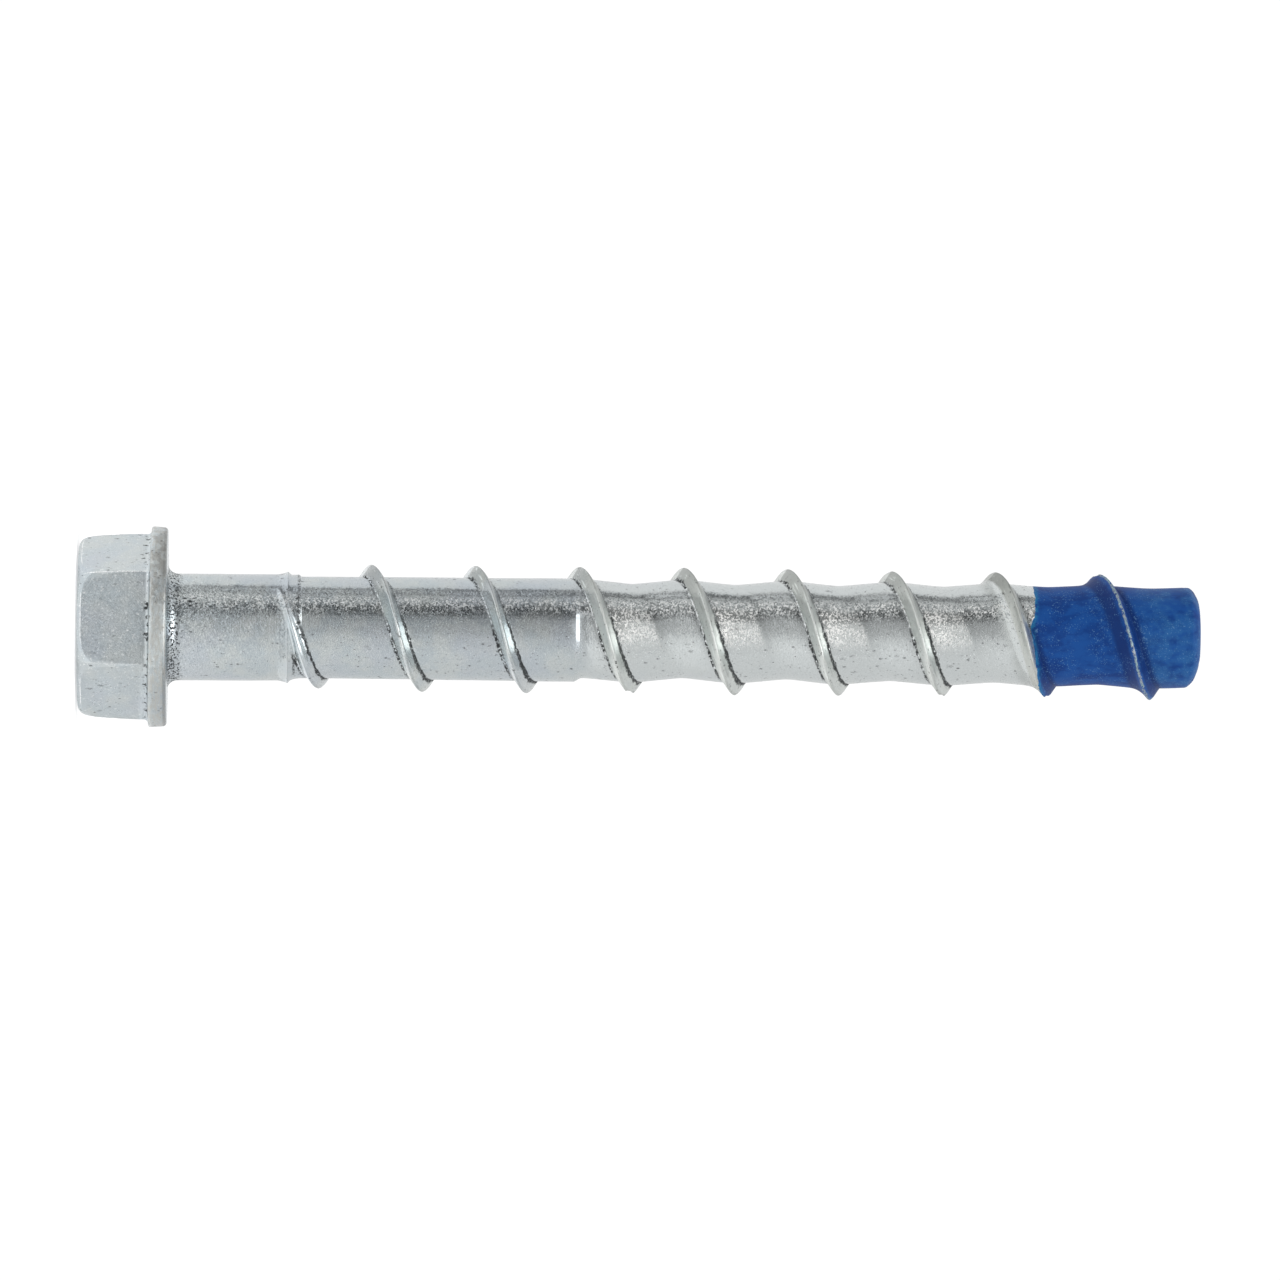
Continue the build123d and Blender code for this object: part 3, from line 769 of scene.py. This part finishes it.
# pale scuffs
scuff = N.math("MULTIPLY", N.step(grit, 0.60, 0.66), N.step(group, 0.44, 0.58))
beside = N.math("MAXIMUM", N.step(N.math("ABSOLUTE", N.math("SUBTRACT", U, 1.9)), 1.0, 0.1), N.step(N.math("ABSOLUTE", N.math("ADD", U, 3.2)), 1.2, 0.1))
scuff = N.math("MAXIMUM", scuff, N.math("MULTIPLY", N.math("MULTIPLY", beside, off_end), N.step(mottle_noise, 0.59, 0.66)))
paint_colour = N.mix(N.math("MULTIPLY", scuff, 0.55), paint_colour, (0.13, 0.28, 0.48, 1))
# worn through along the crest
crest_wander = N.math("MULTIPLY", N.math("SUBTRACT", N.noise(P, 0.7, 3.0, 0.6), 0.5), 0.5)
worn_crest = N.step(N.math("ABSOLUTE", N.math("ADD", N.math("ADD", U, 0.02), crest_wander)), 0.29, 0.10)
worn_crest = N.math("MULTIPLY", N.math("MULTIPLY", worn_crest, threaded), N.step(RUN, 7.6, 8.05))
worn_crest = N.math("MULTIPLY", worn_crest, N.step(mottle_noise, 0.40, 0.52))
paint = N.math("MULTIPLY", paint, N.math("SUBTRACT", 1.0, N.math("MULTIPLY", worn_crest, 0.85)))

zinc = N.mix(N.math("MULTIPLY", worn_crest, N.step(coarse, 0.36, 0.60)), zinc, (0.30, 0.44, 0.44, 1))
colour = N.mix(paint, zinc, paint_colour)
N.put(bsdf.inputs["Base Color"], colour)
N.put(bsdf.inputs["Metallic"], N.math("MULTIPLY", zinc_metal, N.math("SUBTRACT", 1.0, paint)))
N.put(bsdf.inputs["Roughness"], N.mixf(paint, zinc_rough, 0.48))
bsdf.inputs["Specular IOR Level"].default_value = 0.12

# ---- bump: grains of the plating, unevenness, the lip where the waisted part starts
facets = N.math("ADD", tilt_a, N.math("MULTIPLY", tilt_b, 0.8))
facets = N.math("MULTIPLY", facets, N.math("MULTIPLY", N.mixf(on_head, 0.050, 0.12), N.step(S, 128.6, 127.9, 0.1, 1.0)))
h = N.math("ADD", N.math("MULTIPLY", grain, 0.012), N.math("MULTIPLY", coarse, 0.014))
h = N.math("ADD", facets, h)
lip = N.math("MULTIPLY", N.math("SUBTRACT", S, 60.05), 1.0 / 0.55, clamp=True)
lip_side = N.math("MULTIPLY", N.step(TURN, 0.185, 0.215), N.step(TURN, 0.312, 0.250))
lip = N.math("MULTIPLY", N.math("MULTIPLY", lip, lip_side), N.step(S, 68.0, 61.0))
h = N.math("SUBTRACT", h, N.math("MULTIPLY", lip, 0.235))
normal = N.bump(h, 0.001)
N.put(bsdf.inputs["Normal"], normal)

mesh.materials.append(mat)
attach(screw, "root")
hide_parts("concrete_screw")

# ---------------------------------------------------------------- floor
z0 = HEAD_TOP / 1000.0
fv, ff = [(0.0, 0.0, z0)], []
radii, around = [0.03, 0.08, 0.15, 0.22, 0.30], 72
for r in radii:
    fv += [(r * math.cos(2 * math.pi * k / around), r * math.sin(2 * math.pi * k / around), z0) for k in range(around)]
for k in range(around):
    n = (k + 1) % around
    ff.append((0, 1 + k, 1 + n))
    for i in range(len(radii) - 1):
        a, b = 1 + i * around, 1 + (i + 1) * around
        ff.append((a + k, b + k, b + n, a + n))
floor_mesh = bpy.data.meshes.new("floor")
floor_mesh.from_pydata(fv, [], ff)
floor_mesh.update()
floor = bpy.data.objects.new("floor", floor_mesh)
bpy.context.scene.collection.objects.link(floor)
fmat, F, fb = fresh("pale_floor")
fco = F.new("ShaderNodeTexCoord").outputs["Object"]
fn = F.noise(fco, 3.0, 3.0, 0.5)
F.put(fb.inputs["Base Color"], F.mix(fn, (0.61, 0.61, 0.61, 1), (0.63, 0.63, 0.63, 1)))
fb.inputs["Emission Color"].default_value = (1.0, 1.0, 1.0, 1.0)      # a light table
fb.inputs["Emission Strength"].default_value = 0.50
F.put(fb.inputs["Roughness"], F.mixf(fn, 0.85, 0.95))
F.put(fb.inputs["Normal"], F.bump(F.noise(fco, 400.0, 2.0, 0.5), 0.00002))
fb.inputs["Specular IOR Level"].default_value = 0.1
floor_mesh.materials.append(fmat)

# ---------------------------------------------------------------- studio light
# A white room that is darker in one stretch, between the camera and the -X side.
world = bpy.data.worlds.new("studio")
bpy.context.scene.world = world
world.use_nodes = True
world.node_tree.nodes.clear()
W = Nodes(world.node_tree)
wout = W.new("ShaderNodeOutputWorld")
bg = W.new("ShaderNodeBackground")
world.node_tree.links.new(bg.outputs[0], wout.inputs[0])
wco = W.new("ShaderNodeTexCoord").outputs["Generated"]
ws = W.new("ShaderNodeSeparateXYZ")
W.put(ws.inputs[0], wco)
wx, wy, wz = ws.outputs
# angle from -Y towards -X, as a share of a turn, from -0.5 to 0.5
psi = W.math("MULTIPLY", W.math("ARCTAN2", W.math("MULTIPLY", wx, -1.0), W.math("MULTIPLY", wy, -1.0)), 1.0 / (2 * math.pi))
deg = W.math("MULTIPLY", psi, 360.0)
ramp = W.new("ShaderNodeValToRGB")
ramp.color_ramp.interpolation = "EASE"
W.put(ramp.inputs[0], W.math("ADD", psi, 0.5))
stops = [(-180, 0.80), (-60, 0.80), (-28, 0.66), (0, 0.44), (22, 0.32), (31, 0.05), (50, 0.04), (59, 0.46), (66, 0.56), (80, 0.54), (110, 0.90), (150, 0.88)]
cr = ramp.color_ramp
while len(cr.elements) > 1:
    cr.elements.remove(cr.elements[-1])
cr.elements[0].position = (stops[0][0] + 180) / 360.0
cr.elements[0].color = (stops[0][1],) * 3 + (1,)
for a, v in stops[1:]:
    e = cr.elements.new((a + 180) / 360.0)
    e.color = (v, v, v, 1)
# a second dark strip, wider at eye level
eye = W.math("MULTIPLY", W.step(wz, -0.13, -0.09), W.step(wz, 0.15, 0.10))
edge = W.mixf(eye, 88.0, 79.5)
strip = W.math("MULTIPLY", W.step(W.math("SUBTRACT", deg, edge), 0.0, 2.0), W.step(deg, 102.5, 99.0))
light = W.mix(strip, ramp.outputs[0], (0.02, 0.02, 0.02, 1))
# less contrast above and below eye level
away = W.math("MULTIPLY", W.math("SUBTRACT", 1.0, W.math("MULTIPLY", W.step(wz, -0.13, -0.09), W.step(wz, 0.13, 0.08))), 0.24)
light = W.mix(W.math("MULTIPLY", away, W.math("MULTIPLY", W.step(deg, 10.0, 25.0), W.step(deg, 115.0, 105.0))), light, (0.88, 0.88, 0.88, 1))
# brighter above the camera
high = W.math("MULTIPLY", W.step(wz, 0.10, 0.26), W.math("MULTIPLY", W.step(deg, -60.0, -20.0), W.step(deg, 30.0, 22.0)))
light = W.mix(high, light, (0.80, 0.80, 0.80, 1))
low = W.math("MULTIPLY", W.step(wz, -0.07, -0.15), W.math("MULTIPLY", W.step(deg, -120.0, -90.0), W.step(deg, -5.0, -30.0)))
light = W.mix(low, light, (0.98, 0.98, 0.98, 1))
light = W.mix(W.step(wz, -0.16, -0.25), light, (0.86, 0.86, 0.86, 1))
light = W.mix(W.step(wz, 0.40, 0.75), light, (0.80, 0.80, 0.81, 1))
# a lamp with a large soft box, high on the camera's side
box = W.math("MULTIPLY", W.step(wz, 0.52, 0.62), W.step(wz, 0.985, 0.965))
box = W.math("MULTIPLY", box, W.math("MULTIPLY", W.step(deg, -46.0, -34.0), W.step(deg, 50.0, 38.0)))
light = W.mix(box, light, (3.0, 3.0, 3.0, 1))


# white behind the screw, as seen from the sides where it is looked at
def patch(middle, half, low, high_):
    off = W.math("ABSOLUTE", W.math("WRAP", W.math("SUBTRACT", deg, middle), 180.0, -180.0))
    rows = W.math("MULTIPLY", W.step(wz, low - 0.02, low), W.step(wz, high_ + 0.02, high_))
    return W.math("MULTIPLY", W.step(off, half + 1.2, half), rows)


white = patch(180.0, 4.4, -0.135, 0.12)
for middle, half, low, high_ in ((90.0, 4.4, -0.14, 0.022), (-45.0, 6.0, -0.40, -0.14), (135.0, 6.0, -0.50, -0.30)):
    white = W.math("MAXIMUM", white, patch(middle, half, low, high_))
light = W.mix(white, light, (1.05, 1.05, 1.05, 1))
W.put(bg.inputs[0], light)
bg.inputs[1].default_value = 1.0

# ---------------------------------------------------------------- camera
cam_data = bpy.data.cameras.new("camera")
cam = bpy.data.objects.new("camera", cam_data)
bpy.context.scene.collection.objects.link(cam)
bpy.context.scene.camera = cam
t = math.radians(2.2)
roll = math.radians(0.598)
D, CX, CY = 1300.0, 69.7, -1.2
z = CX * math.cos(t) - D * math.sin(t)
n_out = CX * math.sin(t) + D * math.cos(t)
cam.location = (-CY / 1000.0, -n_out / 1000.0, z / 1000.0)
right0 = Vector((0.0, -math.sin(t), math.cos(t)))
up0 = Vector((-1.0, 0.0, 0.0))
right = right0 * math.cos(roll) + up0 * math.sin(roll)
up = up0 * math.cos(roll) - right0 * math.sin(roll)
back = right.cross(up)
m = Matrix((right, up, back)).transposed()
cam.rotation_mode = "QUATERNION"
cam.rotation_quaternion = m.to_quaternion()
cam_data.sensor_width = 36.0
cam_data.lens = 247.9
cam_data.clip_start = 0.05
cam_data.clip_end = 60.0

view = bpy.context.scene.view_settings
view.view_transform = "Standard"
view.look = "None"
view.exposure = 0.0
view.gamma = 1.0

bpy.context.view_layer.update()
